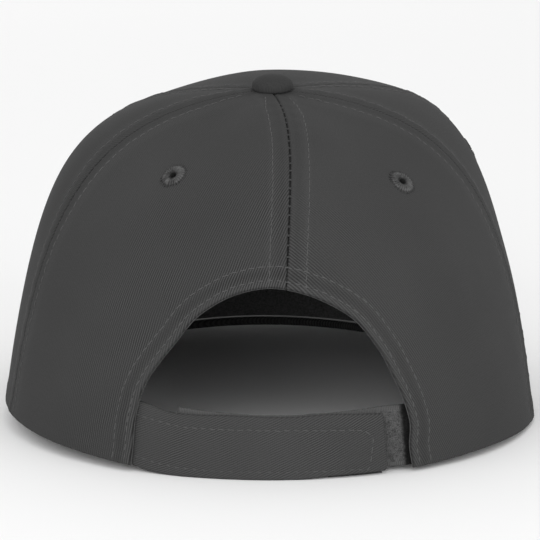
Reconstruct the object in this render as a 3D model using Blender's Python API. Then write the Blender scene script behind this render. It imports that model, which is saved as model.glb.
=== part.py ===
"""Five panel cap of dark grey cotton twill, seen from the back in its picture.

Metres, +Z up. The peak points to -Y and the back faces +Y, so +X is the wearer's left.
The crown is one smooth surface, named by an angle round the head and by a place along
the way from the button to the rim. Every cloth piece is a sheet cut out of that surface.
"""

import bpy
import numpy as np
from mathutils import Matrix

# Crown
CROWN_HALF_WIDTH = 0.090
BACK_REACH = 0.098
FRONT_REACH = 0.100
CROWN_HEIGHT = 0.1115
WALL = 0.0014
SEAM_GAP = 0.0003
PIECE_GAP = 0.0003
CENTRE_HOLE_RADIUS = 0.0034

# Shape of the crown along eight meridians. The angle runs from the back towards the
# wearer's left. Rise is the height of the rim as a share of CROWN_HEIGHT, slope and lean
# are in degrees, and the holds say how long each end keeps its direction, as shares.
MERIDIAN_COLUMNS = ("angle", "rise", "top_slope", "wall_lean", "top_hold", "wall_hold")
MERIDIANS = (
    (0.0, 0.000, 4.0, 9.0, 0.56, 0.61),
    (45.0, 0.030, 7.0, 8.8, 0.52, 0.49),
    (90.0, 0.055, 2.0, 8.4, 0.75, 0.77),
    (130.0, 0.080, 0.0, 6.2, 0.79, 0.77),
    (180.0, 0.120, -6.5, 9.3, 0.89, 0.72),
    (230.0, 0.080, -1.0, 7.5, 1.08, 0.79),
    (270.0, 0.013, -0.5, 6.6, 0.755, 0.70),
    (315.0, 0.020, 8.0, 7.5, 0.605, 0.575),
)

# Seams: angle at the button, angle at the rim, and how far the middle bows, in degrees.
SEAM_COLUMNS = ("at_button", "at_rim", "bow")
SEAMS = {
    "back": (-13.0, 0.5, 3.3),
    "left": (76.0, 76.0, 1.0),
    "front_left": (118.0, 128.0, 0.0),
    "front_right": (242.0, 232.0, 0.0),
    "right": (286.0, 283.0, -5.0),
}

# Opening at the back: its edge to the left and right of its top as shares of half the
# width, and its height above the rim as a share.
ARCH_WIDTH = 0.092
ARCH_HEIGHT = 0.059
ARCH_SHIFT = 0.003
ARCH_COLUMNS = ("climb", "left", "right", "height")
ARCH_EDGE = (
    (0.00, 0.985, 1.000, 0.000),
    (0.25, 0.950, 0.965, 0.250),
    (0.34, 0.915, 0.925, 0.360),
    (0.45, 0.845, 0.870, 0.480),
    (0.62, 0.680, 0.735, 0.680),
    (0.78, 0.480, 0.525, 0.860),
    (0.90, 0.240, 0.250, 0.965),
    (1.00, 0.000, 0.000, 1.000),
)

# Button on top
BUTTON_RADIUS = 0.0075
BUTTON_RISE = 0.0036
BUTTON_EDGE = 0.0009
BUTTON_STEM_RADIUS = 0.0026
BUTTON_FLANGE_RADIUS = 0.0048
BUTTON_FLANGE = 0.0010
BUTTON_FOOT_SHARE = 0.93

# Embroidered eyelets: angle round the head and height of each.
EYELET_RADIUS = 0.0046
EYELET_CREST_SHARE = 0.8
EYELET_NECK_RADIUS = 0.0026
EYELET_HOLE_RADIUS = 0.0013
EYELET_RISE = 0.0006
EYELET_ROOM = 0.0004
EYELET_BACK_ROOM = 0.0008
EYELET_COLUMNS = ("angle", "height")
EYELETS = {
    "back_panel_left": (42.3, 0.0883),
    "side_panel_left": (113.0, 0.0860),
    "side_panel_right": (247.0, 0.0850),
    "back_panel_right": (312.7, 0.0861),
}

# Peak
PEAK_REACH = 0.068
PEAK_HALF_WIDTH = 0.088
PEAK_THICKNESS = 0.0030
PEAK_TUCK = 0.0026
PEAK_START_ANGLE = 105.0
PEAK_SQUARENESS = 2.6
PEAK_TIP_HEIGHT = 0.0075
PEAK_COLUMNS = ("share", "height")
PEAK_EDGE = (
    (0.00, 1.00),
    (0.25, 0.80),
    (0.50, 0.25),
    (0.70, 0.00),
    (0.85, 0.00),
    (1.00, 0.00),
)
PEAK_BLEND_START = 0.72
PEAK_CORNER_CROWDING = 1.25

# Band inside the rim
SWEATBAND_WIDTH = 0.029
SWEATBAND_THICKNESS = 0.0011
SWEATBAND_RAISE = 0.0010
SWEATBAND_LEFT_END = 28.2
SWEATBAND_RIGHT_END = 333.0
SWEATBAND_LIFT = 0.0022
LIFT_FULL_ANGLE = 43.0
LIFT_START_ANGLE = 58.0

# Closing strap across the opening: its edges as shares of its width above the ground.
STRAP_WIDTH = 0.020
STRAP_THICKNESS = 0.0016
STRAP_TAIL_ANGLE = 40.0
STRAP_END_ANGLE = -21.0
STRAP_CORNER_RADIUS = 0.0012
STRAP_COLUMNS = ("angle", "foot", "top")
STRAP_EDGES = (
    (-21.0, 0.050, 0.950),
    (-15.0, 0.045, 0.980),
    (-9.0, 0.035, 1.005),
    (-4.0, 0.000, 0.985),
    (12.0, 0.000, 0.995),
    (20.0, 0.000, 0.975),
    (24.0, 0.010, 0.995),
    (28.0, 0.045, 1.065),
    (32.0, 0.115, 1.110),
    (40.0, 0.165, 1.150),
)
HOOK_THICKNESS = 0.0008
HOOK_TOP = 0.0175
HOOK_START_ANGLE = -9.0
HOOK_END_ANGLE = -20.4
LOOP_THICKNESS = 0.0012
LOOP_BOTTOM = 0.0004
LOOP_TOP = 0.0197
LOOP_FREE_ANGLE = 18.5
LOOP_SETTLE_START = -7.0
LOOP_SETTLE_END = -1.0
LOOP_BEND_START = -21.0
LOOP_BEND_END = -29.0
LOOP_TAIL_ANGLE = -38.0

# Fineness of the meshes
PANEL_ROWS = 15
SIDE_PANEL_COLUMNS = 10
FRONT_PANEL_COLUMNS = 18
BACK_RIM_COLUMNS = 10
BACK_ARCH_COLUMNS = 10
BUTTON_SIDES = 24
BUTTON_ROWS = 7
EYELET_SIDES = 16
PEAK_COLUMN_POINTS = 33
PEAK_ROW_POINTS = 8
SWEATBAND_COLUMN_POINTS = 49
BAND_ROW_POINTS = 4
STRAP_COLUMN_POINTS = 22
STRAP_CORNER_POINTS = 4
HOOK_COLUMN_POINTS = 7
LOOP_COLUMN_POINTS = 26
TAPE_ROW_POINTS = 3

FULL_TURN = 360.0
SEARCH_STEPS = 26
ARCH_STEPS = 5


def through(knots, values, at):
    """Smooth curve through values given at rising knots."""
    knots = np.asarray(knots, float)
    values = np.asarray(values, float)
    at = np.asarray(at, float)
    rise = np.diff(values) / np.diff(knots)
    span = np.diff(knots)
    inner = (rise[1:] * span[:-1] + rise[:-1] * span[1:]) / (span[1:] + span[:-1])
    slope = np.concatenate([rise[:1], inner, rise[-1:]])
    i = np.clip(np.searchsorted(knots, at, side="right") - 1, 0, len(knots) - 2)
    s = (at - knots[i]) / span[i]
    start = (2 * s**3 - 3 * s**2 + 1) * values[i] + (s**3 - 2 * s**2 + s) * span[i] * slope[i]
    end = (3 * s**2 - 2 * s**3) * values[i + 1] + (s**3 - s**2) * span[i] * slope[i + 1]
    return start + end


def smooth_step(value, start, end):
    """0 before start, 1 after end, smooth between."""
    share = np.clip((value - start) / (end - start), 0, 1)
    return share**2 * (3 - 2 * share)


def meridian(column, angle):
    """One column of MERIDIANS at any angle, read round the full turn."""
    table = np.array(MERIDIANS)
    knots = table[:, 0]
    values = table[:, MERIDIAN_COLUMNS.index(column)]
    knots = np.concatenate([knots[-2:] - FULL_TURN, knots, knots[:2] + FULL_TURN])
    values = np.concatenate([values[-2:], values, values[:2]])
    return through(knots, values, np.mod(angle, FULL_TURN))


def rim_reach(angle):
    """Distance of the rim from the middle of the head."""
    turn = np.radians(angle)
    half_length = np.where(np.cos(turn) > 0, BACK_REACH, FRONT_REACH)
    return 1 / np.hypot(np.sin(turn) / CROWN_HALF_WIDTH, np.cos(turn) / half_length)


def crown_point(angle, along):
    """Point on the outside of the crown: along is 0 at the button and 1 at the rim."""
    angle, along = np.broadcast_arrays(np.asarray(angle, float), np.asarray(along, float))
    reach = rim_reach(angle)
    rim_height = meridian("rise", angle) * CROWN_HEIGHT
    wall = meridian("wall_hold", angle) * (CROWN_HEIGHT - rim_height)
    shoulder = meridian("top_hold", angle) * reach
    slope = np.tan(np.radians(meridian("top_slope", angle)))
    lean = np.tan(np.radians(meridian("wall_lean", angle)))
    first = (1 - along) ** 3
    second = 3 * (1 - along) ** 2 * along
    third = 3 * (1 - along) * along**2
    last = along**3
    radius = second * shoulder + third * (reach - wall * lean) + last * reach
    height = first * CROWN_HEIGHT + second * (CROWN_HEIGHT - shoulder * slope)
    height = height + third * (rim_height + wall) + last * rim_height
    turn = np.radians(angle)
    return np.stack([radius * np.sin(turn), radius * np.cos(turn), height], axis=-1)


def crown_normal(angle, along):
    """Direction out of the crown."""
    turn_step = 0.05
    along_step = 0.001
    across = crown_point(angle + turn_step, along) - crown_point(angle - turn_step, along)
    down = crown_point(angle, along + along_step) - crown_point(angle, along - along_step)
    normal = np.cross(across, down)
    return normal / np.linalg.norm(normal, axis=-1, keepdims=True)


def skin(angle, along, depth):
    """Point at a depth under the outside of the crown."""
    if not np.any(depth):
        return crown_point(angle, along)
    depth = np.asarray(depth, float)[..., None]
    return crown_point(angle, along) - depth * crown_normal(angle, along)


def search(measure, wanted, low, high):
    """Where a falling measure comes down to the wanted value."""
    wanted = np.asarray(wanted, float)
    low = np.full(wanted.shape, float(low))
    high = np.full(wanted.shape, float(high))
    for _ in range(SEARCH_STEPS):
        middle = (low + high) / 2
        above = measure(middle) > wanted
        low = np.where(above, middle, low)
        high = np.where(above, high, middle)
    return (low + high) / 2


def along_at_height(angle, height, depth=0.0):
    """Place on the wall of the crown at a height."""
    angle, height, depth = np.broadcast_arrays(angle, height, depth)
    return search(lambda along: skin(angle, along, depth)[..., 2], height, 0.3, 1.1)


def along_at_radius(angle, radius):
    """Place at the top of the crown at a distance from its middle."""
    angle, radius = np.broadcast_arrays(angle, radius)
    return search(
        lambda along: -np.linalg.norm(crown_point(angle, along)[..., :2], axis=-1),
        -radius,
        0.0,
        0.5,
    )


def rim_height(angle):
    """Height of the outer edge of the rim."""
    return crown_point(angle, 1.0)[..., 2]


def seam_angle(seam, along):
    """Angle of a seam at a place between button and rim."""
    at_button, at_rim, bow = SEAMS[seam]
    return at_button + (at_rim - at_button) * along + 4 * bow * along * (1 - along)


def seam_side(seam, along, side):
    """Angle half the seam gap beside a seam, on the side of greater or lesser angles."""
    angle = seam_angle(seam, along)
    radius = np.linalg.norm(crown_point(angle, along)[..., :2], axis=-1)
    return angle + side * np.degrees(SEAM_GAP / 2 / radius)


def arch_edge(place):
    """Angle and along of the edge of the opening, from -1 at its left foot to 1 at its right."""
    climb, left, right, height = np.array(ARCH_EDGE).T
    knots = np.concatenate([climb - 1, 1 - climb[-2::-1]])
    sideways = np.concatenate([left, -right[-2::-1]])
    upwards = np.concatenate([height, height[-2::-1]])
    x = ARCH_SHIFT + through(knots, sideways, place) * ARCH_WIDTH / 2
    share = through(knots, upwards, place)
    angle = np.degrees(np.arcsin(x / BACK_REACH))
    for _ in range(ARCH_STEPS):
        height = rim_height(angle) * (1 - share) + ARCH_HEIGHT * share
        along = along_at_height(angle, height)
        radius = np.linalg.norm(crown_point(angle, along)[..., :2], axis=-1)
        angle = np.degrees(np.arcsin(x / radius))
    return angle, along


def arch_crossing(side):
    """Place on the edge of the opening where one side of the back seam meets it."""

    def beyond(place):
        angle, along = arch_edge(place)
        return angle - seam_side("back", along, side)

    return search(beyond, 0.0, -0.5, 0.5)


def patch(top, low, first, last):
    """Grid of (angle, along) filled in between four lines that meet at their ends."""
    s = np.linspace(0, 1, len(low))[:, None, None]
    v = np.linspace(0, 1, len(first))[None, :, None]
    across = (1 - v) * top[:, None] + v * low[:, None]
    down = (1 - s) * first[None] + s * last[None]
    corners = (1 - v) * ((1 - s) * first[0] + s * last[0])
    corners = corners + v * ((1 - s) * first[-1] + s * last[-1])
    return across + down - corners


def seam_line(seam, side, lowest, turns=0):
    """Line of (angle, along) down one side of a seam, from the centre hole."""
    at_button = SEAMS[seam][0]
    start = along_at_radius(at_button, CENTRE_HOLE_RADIUS)
    along = np.linspace(float(start), float(lowest), PANEL_ROWS)
    return np.stack([seam_side(seam, along, side) + turns * FULL_TURN, along], axis=-1)


def hole_line(start, end, count):
    """Line of (angle, along) round the centre hole."""
    angle = np.linspace(start, end, count)
    return np.stack([angle, along_at_radius(angle, CENTRE_HOLE_RADIUS)], axis=-1)


def panel_grid(low_angles, low_alongs, first, last):
    """Grid of a panel between two seam lines and its lower edge."""
    low = np.stack([low_angles, low_alongs], axis=-1)
    top = hole_line(first[0, 0], last[0, 0], len(low))
    first[0, 1] = top[0, 1]
    last[0, 1] = top[-1, 1]
    return patch(top, low, first, last)


def plain_panel(start_seam, end_seam, columns):
    """Grid of a panel whose lower edge is all rim."""
    first = seam_line(start_seam, 1, 1.0)
    last = seam_line(end_seam, -1, 1.0)
    angles = np.linspace(first[-1, 0], last[-1, 0], columns + 1)
    return panel_grid(angles, np.ones(columns + 1), first, last)


def back_panel(side_seam, seam_side_sign, foot, turns):
    """Grid of a back panel: its lower edge is rim, then the edge of the opening."""
    first = seam_line(side_seam, seam_side_sign, 1.0)
    crossing = float(arch_crossing(-seam_side_sign))
    places = np.linspace(foot, crossing, BACK_ARCH_COLUMNS + 1)
    arch_angles, arch_alongs = arch_edge(places)
    arch_angles = arch_angles + turns * FULL_TURN
    rim_angles = np.linspace(first[-1, 0], arch_angles[0], BACK_RIM_COLUMNS + 1)
    angles = np.concatenate([rim_angles[:-1], arch_angles])
    alongs = np.concatenate([np.ones(BACK_RIM_COLUMNS), arch_alongs])
    last = seam_line("back", -seam_side_sign, arch_alongs[-1], turns)
    return panel_grid(angles, alongs, first, last)


def material(name, colour, roughness):
    """Plain cloth material."""
    made = bpy.data.materials.new(name)
    made.use_nodes = True
    shader = made.node_tree.nodes["Principled BSDF"]
    shader.inputs["Base Color"].default_value = (*colour, 1.0)
    shader.inputs["Roughness"].default_value = roughness
    made.diffuse_color = (*colour, 1.0)
    return made


def add_mesh(name, points, faces, look, smooth_faces):
    """One closed mesh object, its faces turned outwards."""
    points = np.asarray(points, float)
    size = 0.0
    for face in faces:
        corners = points[list(face)]
        for k in range(1, len(face) - 1):
            size += np.dot(corners[0], np.cross(corners[k], corners[k + 1]))
    if size < 0:
        faces = [tuple(reversed(face)) for face in faces]
    mesh = bpy.data.meshes.new(name)
    mesh.from_pydata(points.tolist(), [], [tuple(int(i) for i in face) for face in faces])
    mesh.polygons.foreach_set("use_smooth", [index < smooth_faces for index in range(len(faces))])
    mesh.materials.append(look)
    mesh.update()
    made = bpy.data.objects.new(name, mesh)
    bpy.context.scene.collection.objects.link(made)
    return made


def sheet(name, outer, inner, look):
    """Closed sheet between two grids of points."""
    columns, rows = outer.shape[:2]
    index = np.arange(columns * rows).reshape(columns, rows)
    under = index + columns * rows
    faces = []
    for i in range(columns - 1):
        for j in range(rows - 1):
            faces.append((index[i, j], index[i + 1, j], index[i + 1, j + 1], index[i, j + 1]))
            faces.append((under[i, j], under[i, j + 1], under[i + 1, j + 1], under[i + 1, j]))
    smooth_faces = len(faces)
    border = np.concatenate([index[:, 0], index[-1, 1:], index[-2::-1, -1], index[0, -2:0:-1]])
    for a, b in zip(border, np.roll(border, -1)):
        faces.append((b, a, a + columns * rows, b + columns * rows))
    points = np.concatenate([outer.reshape(-1, 3), inner.reshape(-1, 3)])
    return add_mesh(name, points, faces, look, smooth_faces)


def cloth_panel(name, grid, look):
    """Panel of the crown, one wall thick."""
    angle = grid[..., 0]
    along = grid[..., 1]
    return sheet(name, crown_point(angle, along), skin(angle, along, WALL), look)


def band(name, angle, height, depth, thickness, look):
    """Sheet inside the crown, given by angles, heights and the depth of its outside."""
    depth = np.broadcast_to(depth, angle.shape)
    layers = []
    for level in (depth, depth + thickness):
        layers.append(skin(angle, along_at_height(angle, height, level), level))
    return sheet(name, layers[0], layers[1], look)


def turned(name, profile, sides, place, look):
    """Round piece from a closed profile of (radius, height), at a placement."""
    points = []
    rings = []
    turns = np.linspace(0, 2 * np.pi, sides, endpoint=False)
    for radius, height in profile:
        start = len(points)
        if radius == 0:
            points.append((0, 0, height))
            rings.append([start] * sides)
            continue
        points.extend((radius * np.cos(t), radius * np.sin(t), height) for t in turns)
        rings.append(list(range(start, start + sides)))
    faces = []
    closed = profile[0][0] > 0
    pairs = list(zip(rings, rings[1:] + rings[:1] if closed else rings[1:]))
    for upper, lower in pairs:
        for k in range(sides):
            n = (k + 1) % sides
            corners = (upper[k], upper[n], lower[n], lower[k])
            face = tuple(dict.fromkeys(corners))
            if len(face) > 2:
                faces.append(face)
    placed = [tuple(place @ Matrix.Translation(point).translation) for point in points]
    return add_mesh(name, placed, faces, look, len(faces))


def placement(centre, axis):
    """Matrix that stands a piece on a point, its height along an axis."""
    axis = axis / np.linalg.norm(axis)
    sideways = np.cross(axis, (0.0, 0.0, 1.0) if abs(axis[2]) < 0.7 else (0.0, 1.0, 0.0))
    sideways = sideways / np.linalg.norm(sideways)
    forwards = np.cross(axis, sideways)
    columns = np.stack([sideways, forwards, axis, centre], axis=-1)
    return Matrix([*columns.tolist(), [0, 0, 0, 1]])


def add_panels(look):
    """The five panels of the crown."""
    panels = {
        "front_panel": plain_panel("front_left", "front_right", FRONT_PANEL_COLUMNS),
        "side_panel_left": plain_panel("left", "front_left", SIDE_PANEL_COLUMNS),
        "side_panel_right": plain_panel("front_right", "right", SIDE_PANEL_COLUMNS),
        "back_panel_left": back_panel("left", -1, -1.0, 0),
        "back_panel_right": back_panel("right", 1, 1.0, 1),
    }
    return {name: cloth_panel(name, grid, look) for name, grid in panels.items()}


def add_eyelets(panels, look):
    """A stitched ring through each of four panels, and the hole that takes it."""
    for panel_name, (angle, height) in EYELETS.items():
        along = float(along_at_height(angle, height))
        centre = crown_point(angle, along)
        axis = crown_normal(angle, along)
        place = placement(centre, axis)
        top = EYELET_ROOM + EYELET_RISE
        back = -WALL - EYELET_BACK_ROOM
        bottom = back - EYELET_RISE
        profile = (
            (EYELET_HOLE_RADIUS, top),
            (EYELET_RADIUS * EYELET_CREST_SHARE, top),
            (EYELET_RADIUS, EYELET_ROOM),
            (EYELET_NECK_RADIUS, EYELET_ROOM),
            (EYELET_NECK_RADIUS, back),
            (EYELET_RADIUS, back),
            (EYELET_RADIUS * EYELET_CREST_SHARE, bottom),
            (EYELET_HOLE_RADIUS, bottom),
        )
        name = panel_name.replace("panel", "eyelet")
        turned(name, profile, EYELET_SIDES, place, look)
        cutter_radius = EYELET_NECK_RADIUS + PIECE_GAP
        reach = 3 * WALL
        cutter_profile = (
            (0, reach),
            (cutter_radius, reach),
            (cutter_radius, -reach),
            (0, -reach),
        )
        cutter = turned(name + "_cutter", cutter_profile, EYELET_SIDES, place, look)
        cutter.hide_render = True
        cutter.display_type = "WIRE"
        cut = panels[panel_name].modifiers.new("eyelet hole", "BOOLEAN")
        cut.operation = "DIFFERENCE"
        cut.solver = "EXACT"
        cut.object = cutter


def add_button(look):
    """Covered button on top, with a stem through the centre hole and a flange inside."""
    angles = np.arange(0, FULL_TURN, 10)
    apex = np.array([0.0, 0.0, CROWN_HEIGHT])
    edge = along_at_radius(angles, BUTTON_RADIUS)
    axis = crown_normal(angles, edge).mean(axis=0)
    axis = axis / np.linalg.norm(axis)
    outside = [crown_point(angles, along_at_radius(angles, r)) for r in (CENTRE_HOLE_RADIUS, BUTTON_RADIUS)]
    base = max(((points - apex) @ axis).max() for points in outside) + PIECE_GAP
    flange_places = [along_at_radius(angles, r) for r in (CENTRE_HOLE_RADIUS, BUTTON_FLANGE_RADIUS)]
    inside = [skin(angles, place, WALL) for place in flange_places]
    ceiling = min(((points - apex) @ axis).min() for points in inside) - PIECE_GAP
    dome = [
        (BUTTON_RADIUS * np.sin(t), base + BUTTON_EDGE + (BUTTON_RISE - BUTTON_EDGE) * np.cos(t))
        for t in np.linspace(0, np.pi / 2, BUTTON_ROWS + 1)[1:]
    ]
    profile = [
        (0, base + BUTTON_RISE),
        *dome,
        (BUTTON_RADIUS * BUTTON_FOOT_SHARE, base),
        (BUTTON_STEM_RADIUS, base),
        (BUTTON_STEM_RADIUS, ceiling),
        (BUTTON_FLANGE_RADIUS, ceiling),
        (BUTTON_FLANGE_RADIUS, ceiling - BUTTON_FLANGE),
        (0, ceiling - BUTTON_FLANGE),
    ]
    return turned("top_button", profile, BUTTON_SIDES, placement(apex, axis), look)


def peak_outline(share):
    """Outer edge of the peak in plan, from -1 at the right corner to 1 at the left."""
    turn = share * np.pi / 2
    corner = crown_point(PEAK_START_ANGLE, 1.0)[1]
    power = 2 / PEAK_SQUARENESS
    x = PEAK_HALF_WIDTH * np.sign(turn) * np.abs(np.sin(turn)) ** power
    depth = FRONT_REACH + PEAK_REACH + corner
    y = corner - depth * np.abs(np.cos(turn)) ** power
    return x, y


def add_peak(look):
    """Curved peak tucked under the front rim."""
    share = np.linspace(-1, 1, PEAK_COLUMN_POINTS)
    share = np.sign(share) * (1 - (1 - np.abs(share)) ** PEAK_CORNER_CROWDING)
    across = np.linspace(0, 1, PEAK_ROW_POINTS)
    angle = FULL_TURN / 2 - share * (FULL_TURN / 2 - PEAK_START_ANGLE)
    root = skin(angle, 1.0, PEAK_TUCK)
    root[:, 2] = skin(angle, 1.0, WALL)[:, 2] - PIECE_GAP
    x, y = peak_outline(share)
    knots, heights = np.array(PEAK_EDGE).T
    edge_height = PEAK_THICKNESS + PEAK_TIP_HEIGHT * through(knots, heights, np.abs(share))
    blend = smooth_step(np.abs(share), PEAK_BLEND_START, 1.0)
    edge_height = edge_height * (1 - blend) + root[:, 2] * blend
    edge_height = np.maximum(edge_height, PEAK_THICKNESS)
    edge = np.stack([x, y, edge_height], axis=-1)
    top = root[:, None] * (1 - across[None, :, None]) + edge[:, None] * across[None, :, None]
    under = top - np.array([0.0, 0.0, PEAK_THICKNESS])
    return sheet("peak", top, under, look)


def add_sweatband(look):
    """Band inside the rim, from one side of the opening round the front to the other."""
    angle = np.linspace(SWEATBAND_LEFT_END, SWEATBAND_RIGHT_END, SWEATBAND_COLUMN_POINTS)
    from_back = np.minimum(angle, FULL_TURN - angle)
    lift = SWEATBAND_LIFT * smooth_step(from_back, LIFT_START_ANGLE, LIFT_FULL_ANGLE)
    depth = WALL + PIECE_GAP + lift
    climb = np.linspace(0, 1, BAND_ROW_POINTS)
    height = rim_height(angle)[:, None] + SWEATBAND_RAISE
    height = height + climb[None] * (SWEATBAND_WIDTH - SWEATBAND_RAISE)
    angle = np.broadcast_to(angle[:, None], height.shape)
    return band("sweatband", angle, height, depth[:, None], SWEATBAND_THICKNESS, look)


def strap_edges(angle):
    """Heights of the lower and upper edge of the strap."""
    knots, foot, top = np.array(STRAP_EDGES).T
    low = np.maximum(through(knots, foot, angle) * STRAP_WIDTH, 0.0)
    return low, through(knots, top, angle) * STRAP_WIDTH


def strap_grid():
    """Angles and heights of the strap, its free end with rounded corners."""
    corner_angle = np.degrees(STRAP_CORNER_RADIUS / BACK_REACH)
    body = np.linspace(STRAP_TAIL_ANGLE, STRAP_END_ANGLE + corner_angle, STRAP_COLUMN_POINTS)
    turn = np.linspace(0, np.pi / 2, STRAP_CORNER_POINTS + 1)[1:]
    rounded = STRAP_END_ANGLE + corner_angle * (1 - np.sin(turn))
    angle = np.concatenate([body, rounded])
    inset = np.zeros(STRAP_COLUMN_POINTS)
    inset = np.concatenate([inset, STRAP_CORNER_RADIUS * (1 - np.cos(turn))])
    low, high = strap_edges(angle)
    climb = np.linspace(0, 1, BAND_ROW_POINTS)
    height = (low + inset)[:, None] * (1 - climb) + (high - inset)[:, None] * climb
    return np.broadcast_to(angle[:, None], height.shape), height


def add_strap(cloth, hook_look, loop_look):
    """Strap with its hook patch, and the loop tab that it fastens to."""
    strap_depth = WALL + PIECE_GAP
    angle, height = strap_grid()
    band("strap", angle, height, strap_depth, STRAP_THICKNESS, cloth)
    hook_depth = strap_depth + STRAP_THICKNESS + PIECE_GAP
    angle, height = np.meshgrid(
        np.linspace(HOOK_START_ANGLE, HOOK_END_ANGLE, HOOK_COLUMN_POINTS),
        np.linspace(0.0, HOOK_TOP, TAPE_ROW_POINTS),
        indexing="ij",
    )
    band("hook_patch", angle, height, hook_depth, HOOK_THICKNESS, hook_look)
    loop_depth = hook_depth + HOOK_THICKNESS + PIECE_GAP
    angle, height = np.meshgrid(
        np.linspace(LOOP_FREE_ANGLE, LOOP_TAIL_ANGLE, LOOP_COLUMN_POINTS),
        np.linspace(LOOP_BOTTOM, LOOP_TOP, TAPE_ROW_POINTS),
        indexing="ij",
    )
    height = rim_height(angle) + height
    depth = loop_depth + (strap_depth - loop_depth) * smooth_step(angle, LOOP_BEND_START, LOOP_BEND_END)
    depth = depth + (hook_depth - loop_depth) * smooth_step(angle, LOOP_SETTLE_START, LOOP_SETTLE_END)
    band("loop_tab", angle, height, depth, LOOP_THICKNESS, loop_look)


def centre_on_box():
    """Moves every mesh so that the middle of the box is over the origin and its foot at zero."""
    meshes = [made.data for made in bpy.context.scene.objects]
    shown = [made.data for made in bpy.context.scene.objects if not made.hide_render]
    points = np.array([vertex.co for mesh in shown for vertex in mesh.vertices])
    low = points.min(axis=0)
    high = points.max(axis=0)
    shift = Matrix.Translation((-(low[0] + high[0]) / 2, -(low[1] + high[1]) / 2, -low[2]))
    for mesh in meshes:
        mesh.transform(shift)


def main():
    for old in list(bpy.data.objects):
        bpy.data.objects.remove(old, do_unlink=True)
    bpy.context.scene.unit_settings.scale_length = 1.0
    twill = material("twill", (0.055, 0.055, 0.058), 0.9)
    thread = material("eyelet_thread", (0.085, 0.085, 0.088), 0.8)
    band_cloth = material("sweatband_cloth", (0.045, 0.045, 0.048), 0.9)
    hook = material("hook_tape", (0.035, 0.035, 0.037), 0.7)
    loop = material("loop_tape", (0.040, 0.040, 0.042), 1.0)
    panels = add_panels(twill)
    add_eyelets(panels, thread)
    add_button(twill)
    add_peak(twill)
    add_sweatband(band_cloth)
    add_strap(twill, hook, loop)
    centre_on_box()


main()
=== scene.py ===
"""Five panel cap of dark grey cotton twill: how it looks, on a pale studio floor."""

import bmesh
import bpy
import numpy as np
from mathutils import Matrix, Vector


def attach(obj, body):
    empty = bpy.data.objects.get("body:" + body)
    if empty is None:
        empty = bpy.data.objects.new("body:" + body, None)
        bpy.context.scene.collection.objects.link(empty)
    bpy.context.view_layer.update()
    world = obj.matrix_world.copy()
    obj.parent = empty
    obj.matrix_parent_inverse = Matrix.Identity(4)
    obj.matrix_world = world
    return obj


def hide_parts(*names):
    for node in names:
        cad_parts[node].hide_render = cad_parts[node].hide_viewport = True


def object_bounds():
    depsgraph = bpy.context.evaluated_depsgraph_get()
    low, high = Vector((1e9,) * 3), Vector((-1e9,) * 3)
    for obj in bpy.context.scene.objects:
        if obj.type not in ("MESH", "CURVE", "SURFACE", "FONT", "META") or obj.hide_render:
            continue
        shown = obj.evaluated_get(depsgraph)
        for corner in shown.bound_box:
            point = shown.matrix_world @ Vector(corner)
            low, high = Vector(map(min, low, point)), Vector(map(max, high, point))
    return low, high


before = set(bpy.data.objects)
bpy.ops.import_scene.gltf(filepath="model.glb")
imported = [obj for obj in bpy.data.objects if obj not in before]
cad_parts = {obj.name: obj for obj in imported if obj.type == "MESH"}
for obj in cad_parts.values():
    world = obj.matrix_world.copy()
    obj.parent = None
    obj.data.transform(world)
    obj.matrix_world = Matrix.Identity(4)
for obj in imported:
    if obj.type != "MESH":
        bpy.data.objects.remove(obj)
cad_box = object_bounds()

MM = 0.001
FULL_TURN = 360.0

# Crown, as in the part's source
CROWN_HALF_WIDTH = 0.090
BACK_REACH = 0.098
FRONT_REACH = 0.100
CROWN_HEIGHT = 0.1115
WALL = 0.0014
PIECE_GAP = 0.0003
MERIDIAN_COLUMNS = ("angle", "rise", "top_slope", "wall_lean", "top_hold", "wall_hold")
MERIDIANS = np.array(
    (
        (0.0, 0.000, 4.0, 9.0, 0.56, 0.61),
        (45.0, 0.030, 7.0, 8.8, 0.52, 0.49),
        (90.0, 0.055, 2.0, 8.4, 0.75, 0.77),
        (130.0, 0.080, 0.0, 6.2, 0.79, 0.77),
        (180.0, 0.120, -6.5, 9.3, 0.89, 0.72),
        (230.0, 0.080, -1.0, 7.5, 1.08, 0.79),
        (270.0, 0.013, -0.5, 6.6, 0.755, 0.70),
        (315.0, 0.020, 8.0, 7.5, 0.605, 0.575),
    )
)
# Angle at the button, angle at the rim and bow between them
SEAMS = {
    "back": (-13.0, -0.2, 3.5),
    "left": (76.0, 76.0, -0.4),
    "front_left": (118.0, 128.0, 0.0),
    "front_right": (242.0, 232.0, 0.0),
    "right": (286.0, 283.0, -5.0),
}
ARCH_WIDTH = 0.092
ARCH_HEIGHT = 0.059
ARCH_SHIFT = 0.003
ARCH_EDGE = np.array(
    (
        (0.00, 0.985, 0.990, 0.000),
        (0.12, 0.970, 0.968, 0.120),
        (0.25, 0.955, 0.972, 0.250),
        (0.34, 0.925, 0.935, 0.360),
        (0.45, 0.862, 0.870, 0.480),
        (0.62, 0.680, 0.735, 0.680),
        (0.78, 0.480, 0.525, 0.860),
        (0.90, 0.240, 0.250, 0.965),
        (1.00, 0.000, 0.000, 1.000),
    )
)
PEAK_REACH = 0.068
PEAK_HALF_WIDTH = 0.088
PEAK_THICKNESS = 0.0030
PEAK_TUCK = 0.0026
PEAK_START_ANGLE = 105.0
PEAK_SQUARENESS = 2.6
PEAK_TIP_HEIGHT = 0.0075
PEAK_EDGE = np.array(((0.0, 1.0), (0.25, 0.8), (0.5, 0.25), (0.7, 0.0), (0.85, 0.0), (1.0, 0.0)))
PEAK_BLEND_START = 0.72
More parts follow.
